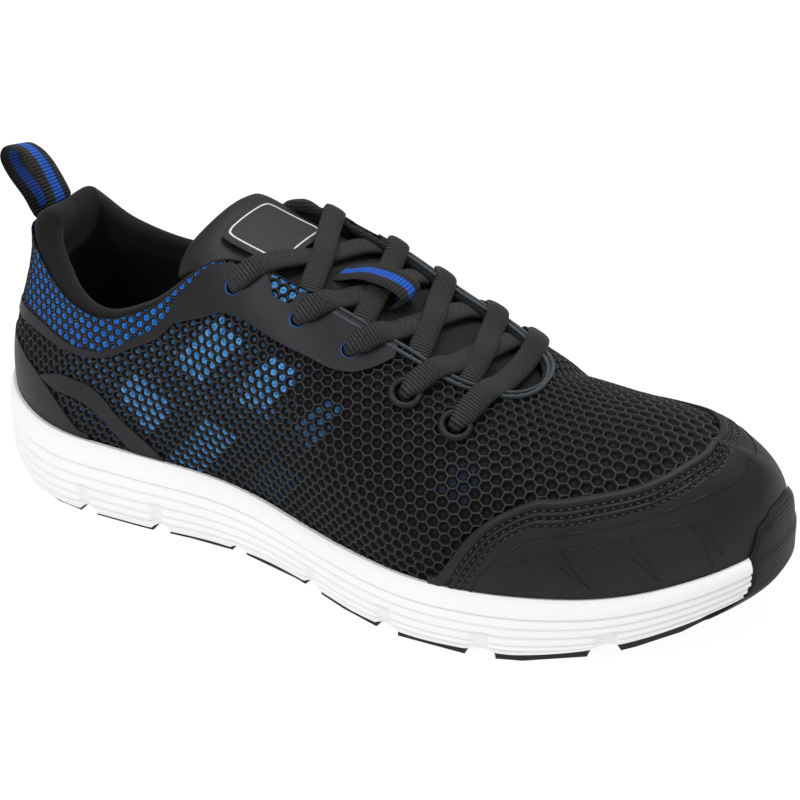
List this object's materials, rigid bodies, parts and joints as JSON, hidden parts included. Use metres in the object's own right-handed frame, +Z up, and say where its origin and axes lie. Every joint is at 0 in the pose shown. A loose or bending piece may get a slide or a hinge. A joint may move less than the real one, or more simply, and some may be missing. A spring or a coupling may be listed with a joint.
{
  "type": "safety trainer",
  "caption": "Low safety trainer with a honeycomb net upper, a smooth protective toe cap, eyelet lacing, a pull loop and a ribbed foam sole on a lugged tread.",
  "frame": {"origin": "on the floor, under the middle of the heel's flat spot", "axes": "+X towards the toe, +Y towards the inner side of the foot, +Z up"},
  "size_m": [0.3064, 0.1155, 0.125],
  "materials": {
    "black_rubber": "matt moulded rubber",
    "white_foam": "matt moulded foam with fine ribs",
    "net": "raised honeycomb net over blue and black cloth",
    "smooth_film": "smooth satin film with a fine grain",
    "lining": "soft black textile",
    "tongue_skin": "padded black cloth with a smooth top",
    "badge": "bare black patch with a pale stitched border",
    "webbing": "ribbed black webbing with a blue stripe",
    "lace_cloth": "thick ribbed black cord"
  },
  "bodies": {
    "root": {"outsole": "black_rubber", "toe_bumper": "black_rubber", "midsole": "white_foam", "insole": "lining", "upper": "net", "toe_cap": "smooth_film", "heel_counter": "smooth_film", "quarter_strap_lateral": "smooth_film", "quarter_strap_medial": "smooth_film", "eyestay_lateral": "smooth_film", "eyestay_medial": "smooth_film", "collar_strip": "smooth_film", "tongue": "tongue_skin", "tongue_badge": "badge", "tongue_webbing": "webbing", "eyelet_ring_lateral_4": "smooth_film", "eyelet_ring_lateral_5": "smooth_film", "eyelet_ring_medial_4": "smooth_film", "eyelet_ring_medial_5": "smooth_film", "laces": "lace_cloth", "pull_loop": "webbing"}
  },
  "joints": []
}
